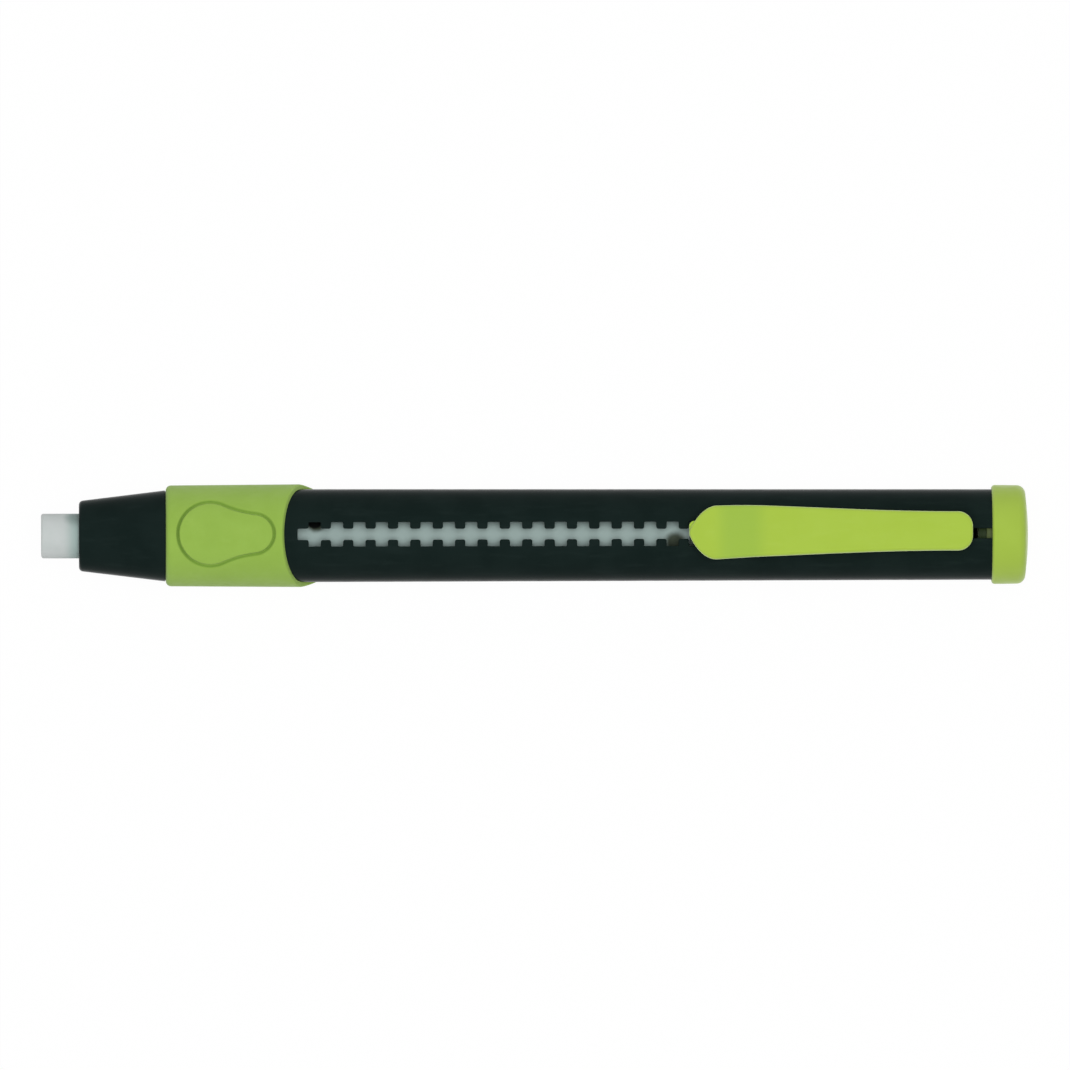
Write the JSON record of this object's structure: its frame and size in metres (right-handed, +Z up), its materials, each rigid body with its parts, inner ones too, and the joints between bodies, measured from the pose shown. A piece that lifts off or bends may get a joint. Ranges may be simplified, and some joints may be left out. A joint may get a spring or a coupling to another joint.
{
  "type": "pencil eraser stick",
  "caption": "Refillable pen-shaped eraser with a round eraser stick, a rubber grip, a notched barrel, and a sliding pocket clip that feeds and locks the eraser.",
  "frame": {"origin": "on the surface that the grip sleeve rests on, under the middle of the pen's length and on its centre line", "axes": "+X along the pen from the eraser tip to the end cap, +Y across it, +Z up through the slot and the clip"},
  "size_m": [0.1458, 0.0152, 0.0189],
  "materials": {
    "eraser": "matt white vinyl eraser with a faint dusty bloom",
    "black_plastic": "satin black moulded plastic with a faint green cast",
    "lime_rubber": "matt lime rubber",
    "holder_plastic": "plain dark moulded plastic",
    "lime_plastic": "smooth semi-gloss lime plastic"
  },
  "bodies": {
    "barrel": {"barrel": "black_plastic", "nose_cone": "black_plastic", "grip_sleeve": "lime_rubber"},
    "slider": {"eraser_holder": "holder_plastic", "eraser_stick": "eraser", "latch_tongue": "holder_plastic"},
    "clip": {"clip": "lime_plastic"},
    "end_cap": {"end_cap": "lime_plastic"}
  },
  "joints": [
    {"name": "slider_feed", "type": "slide", "parent": "barrel", "child": "slider", "axis": [-1, 0, 0], "range_m": [0, 0.0561], "deforming": ["latch_tongue"]},
    {"name": "clip_flex", "type": "hinge", "parent": "slider", "child": "clip", "pos_m": [0.05898, 0, 0.01088], "axis": [0, 1, 0], "range_deg": [-1.85, 4], "stiffness_Nm_per_rad": 0.6, "deforming": ["latch_tongue"]},
    {"name": "end_cap_pull", "type": "slide", "parent": "barrel", "child": "end_cap", "axis": [1, 0, 0], "range_m": [0, 0.01]}
  ]
}
